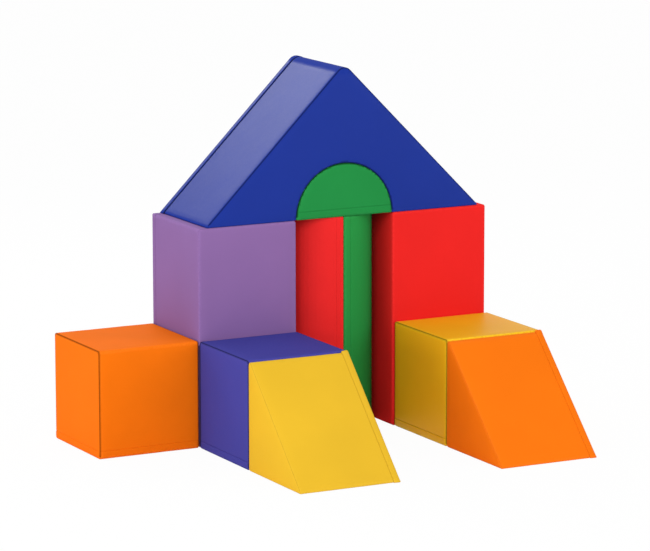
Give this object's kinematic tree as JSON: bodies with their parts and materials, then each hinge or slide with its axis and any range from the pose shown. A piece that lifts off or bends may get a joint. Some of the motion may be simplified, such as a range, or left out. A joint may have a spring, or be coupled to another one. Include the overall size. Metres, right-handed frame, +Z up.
{
  "type": "soft play foam climber",
  "caption": "Soft play house of vinyl-covered foam blocks: columns, gable roof with half-round, round pillar in the doorway, side cube and ramps of cube and wedge.",
  "frame": {"origin": "middle of the footprint's bounding box, on the floor", "axes": "+Z up, -Y towards the ramps (front), +X towards the red column's side"},
  "size_m": [1.2058, 0.897, 1.0249],
  "materials": {
    "purple_column_vinyl": "satin purple vinyl-coated fabric, fine grain",
    "purple_column_tape": "woven zip tape in the cover's colour",
    "orange_cube_vinyl": "satin orange vinyl-coated fabric, fine grain",
    "orange_cube_tape": "woven zip tape in the cover's colour",
    "blue_cube_vinyl": "satin indigo vinyl-coated fabric, fine grain",
    "blue_cube_tape": "woven zip tape in the cover's colour",
    "yellow_wedge_vinyl": "satin yellow vinyl-coated fabric, fine grain",
    "yellow_wedge_tape": "woven zip tape in the cover's colour",
    "red_column_vinyl": "satin red vinyl-coated fabric, fine grain",
    "red_column_tape": "woven zip tape in the cover's colour",
    "gold_cube_vinyl": "satin gold vinyl-coated fabric, fine grain",
    "gold_cube_tape": "woven zip tape in the cover's colour",
    "orange_wedge_vinyl": "satin orange vinyl-coated fabric, fine grain",
    "orange_wedge_tape": "woven zip tape in the cover's colour",
    "roof_arch_vinyl": "satin blue vinyl-coated fabric, fine grain",
    "roof_arch_tape": "woven zip tape in the cover's colour",
    "half_round_vinyl": "satin green vinyl-coated fabric, fine grain",
    "half_round_tape": "woven zip tape in the cover's colour",
    "red_half_round_vinyl": "satin red vinyl-coated fabric, fine grain",
    "red_half_round_tape": "woven zip tape in the cover's colour",
    "green_half_round_vinyl": "satin green vinyl-coated fabric, fine grain",
    "green_half_round_tape": "woven zip tape in the cover's colour",
    "foam": "open-cell polyurethane foam",
    "slider_metal": "grey die-cast metal"
  },
  "bodies": {
    "purple_column": {"purple_column_cover": "purple_column_vinyl", "purple_column_core": "foam", "purple_column_zip": "purple_column_tape"},
    "purple_column_zip_slider": {"purple_column_slider": "slider_metal"},
    "orange_cube": {"orange_cube_cover": "orange_cube_vinyl", "orange_cube_core": "foam", "orange_cube_zip": "orange_cube_tape"},
    "orange_cube_zip_slider": {"orange_cube_slider": "slider_metal"},
    "blue_cube": {"blue_cube_cover": "blue_cube_vinyl", "blue_cube_core": "foam", "blue_cube_zip": "blue_cube_tape"},
    "blue_cube_zip_slider": {"blue_cube_slider": "slider_metal"},
    "yellow_wedge": {"yellow_wedge_cover": "yellow_wedge_vinyl", "yellow_wedge_core": "foam", "yellow_wedge_zip": "yellow_wedge_tape"},
    "yellow_wedge_zip_slider": {"yellow_wedge_slider": "slider_metal"},
    "red_column": {"red_column_cover": "red_column_vinyl", "red_column_core": "foam", "red_column_zip": "red_column_tape"},
    "red_column_zip_slider": {"red_column_slider": "slider_metal"},
    "gold_cube": {"gold_cube_cover": "gold_cube_vinyl", "gold_cube_core": "foam", "gold_cube_zip": "gold_cube_tape"},
    "gold_cube_zip_slider": {"gold_cube_slider": "slider_metal"},
    "orange_wedge": {"orange_wedge_cover": "orange_wedge_vinyl", "orange_wedge_core": "foam", "orange_wedge_zip": "orange_wedge_tape"},
    "orange_wedge_zip_slider": {"orange_wedge_slider": "slider_metal"},
    "roof_arch": {"roof_arch_cover": "roof_arch_vinyl", "roof_arch_core": "foam", "roof_arch_zip": "roof_arch_tape"},
    "roof_arch_zip_slider": {"roof_arch_slider": "slider_metal"},
    "half_round": {"half_round_cover": "half_round_vinyl", "half_round_core": "foam", "half_round_zip": "half_round_tape"},
    "half_round_zip_slider": {"half_round_slider": "slider_metal"},
    "red_half_round": {"red_half_round_cover": "red_half_round_vinyl", "red_half_round_core": "foam", "red_half_round_zip": "red_half_round_tape"},
    "red_half_round_zip_slider": {"red_half_round_slider": "slider_metal"},
    "green_half_round": {"green_half_round_cover": "green_half_round_vinyl", "green_half_round_core": "foam", "green_half_round_zip": "green_half_round_tape"},
    "green_half_round_zip_slider": {"green_half_round_slider": "slider_metal"}
  },
  "joints": [
    {"name": "orange_cube_lift", "type": "slide", "parent": "purple_column", "child": "orange_cube", "axis": [0, 0, 1], "range_m": [0, 0.35]},
    {"name": "blue_cube_lift", "type": "slide", "parent": "purple_column", "child": "blue_cube", "axis": [0, 0, 1], "range_m": [0, 0.35]},
    {"name": "gold_cube_lift", "type": "slide", "parent": "purple_column", "child": "gold_cube", "axis": [0, 0, 1], "range_m": [0, 0.35]},
    {"name": "yellow_wedge_lift", "type": "slide", "parent": "purple_column", "child": "yellow_wedge", "axis": [0, 0, 1], "range_m": [0, 0.35]},
    {"name": "orange_wedge_lift", "type": "slide", "parent": "purple_column", "child": "orange_wedge", "axis": [0, 0, 1], "range_m": [0, 0.35]},
    {"name": "roof_arch_lift", "type": "slide", "parent": "purple_column", "child": "roof_arch", "axis": [0, 0, 1], "range_m": [0, 0.35]},
    {"name": "half_round_push_out", "type": "slide", "parent": "roof_arch", "child": "half_round", "axis": [0, -1, 0], "range_m": [0, 0.32]},
    {"name": "red_column_move", "type": "slide", "parent": "purple_column", "child": "red_column", "axis": [1, 0, 0], "range_m": [0, 0.35]},
    {"name": "red_half_round_move", "type": "slide", "parent": "purple_column", "child": "red_half_round", "axis": [0, -1, 0], "range_m": [0, 0.35]},
    {"name": "green_half_round_move", "type": "slide", "parent": "purple_column", "child": "green_half_round", "axis": [0, -1, 0], "range_m": [0, 0.35]},
    {"name": "purple_column_zip_run", "type": "slide", "parent": "purple_column", "child": "purple_column_zip_slider", "axis": [0, 0, 1], "range_m": [0, 0.5278]},
    {"name": "orange_cube_zip_run", "type": "slide", "parent": "orange_cube", "child": "orange_cube_zip_slider", "axis": [1, 0, 0], "range_m": [0, 0.2188]},
    {"name": "blue_cube_zip_run", "type": "slide", "parent": "blue_cube", "child": "blue_cube_zip_slider", "axis": [1, 0, 0], "range_m": [0, 0.2188]},
    {"name": "yellow_wedge_zip_run", "type": "slide", "parent": "yellow_wedge", "child": "yellow_wedge_zip_slider", "axis": [1, 0, 0], "range_m": [0, 0.2188]},
    {"name": "red_column_zip_run", "type": "slide", "parent": "red_column", "child": "red_column_zip_slider", "axis": [0, 0, 1], "range_m": [0, 0.5278]},
    {"name": "gold_cube_zip_run", "type": "slide", "parent": "gold_cube", "child": "gold_cube_zip_slider", "axis": [1, 0, 0], "range_m": [0, 0.2188]},
    {"name": "orange_wedge_zip_run", "type": "slide", "parent": "orange_wedge", "child": "orange_wedge_zip_slider", "axis": [1, 0, 0], "range_m": [0, 0.2188]},
    {"name": "roof_arch_zip_run", "type": "slide", "parent": "roof_arch", "child": "roof_arch_zip_slider", "axis": [0, 1, 0], "range_m": [0, 0.2188]},
    {"name": "half_round_zip_run", "type": "slide", "parent": "half_round", "child": "half_round_zip_slider", "axis": [0, 1, 0], "range_m": [0, 0.2188]},
    {"name": "red_half_round_zip_run", "type": "slide", "parent": "red_half_round", "child": "red_half_round_zip_slider", "axis": [0, 0, 1], "range_m": [0, 0.5278]},
    {"name": "green_half_round_zip_run", "type": "slide", "parent": "green_half_round", "child": "green_half_round_zip_slider", "axis": [0, 0, 1], "range_m": [0, 0.5278]}
  ]
}
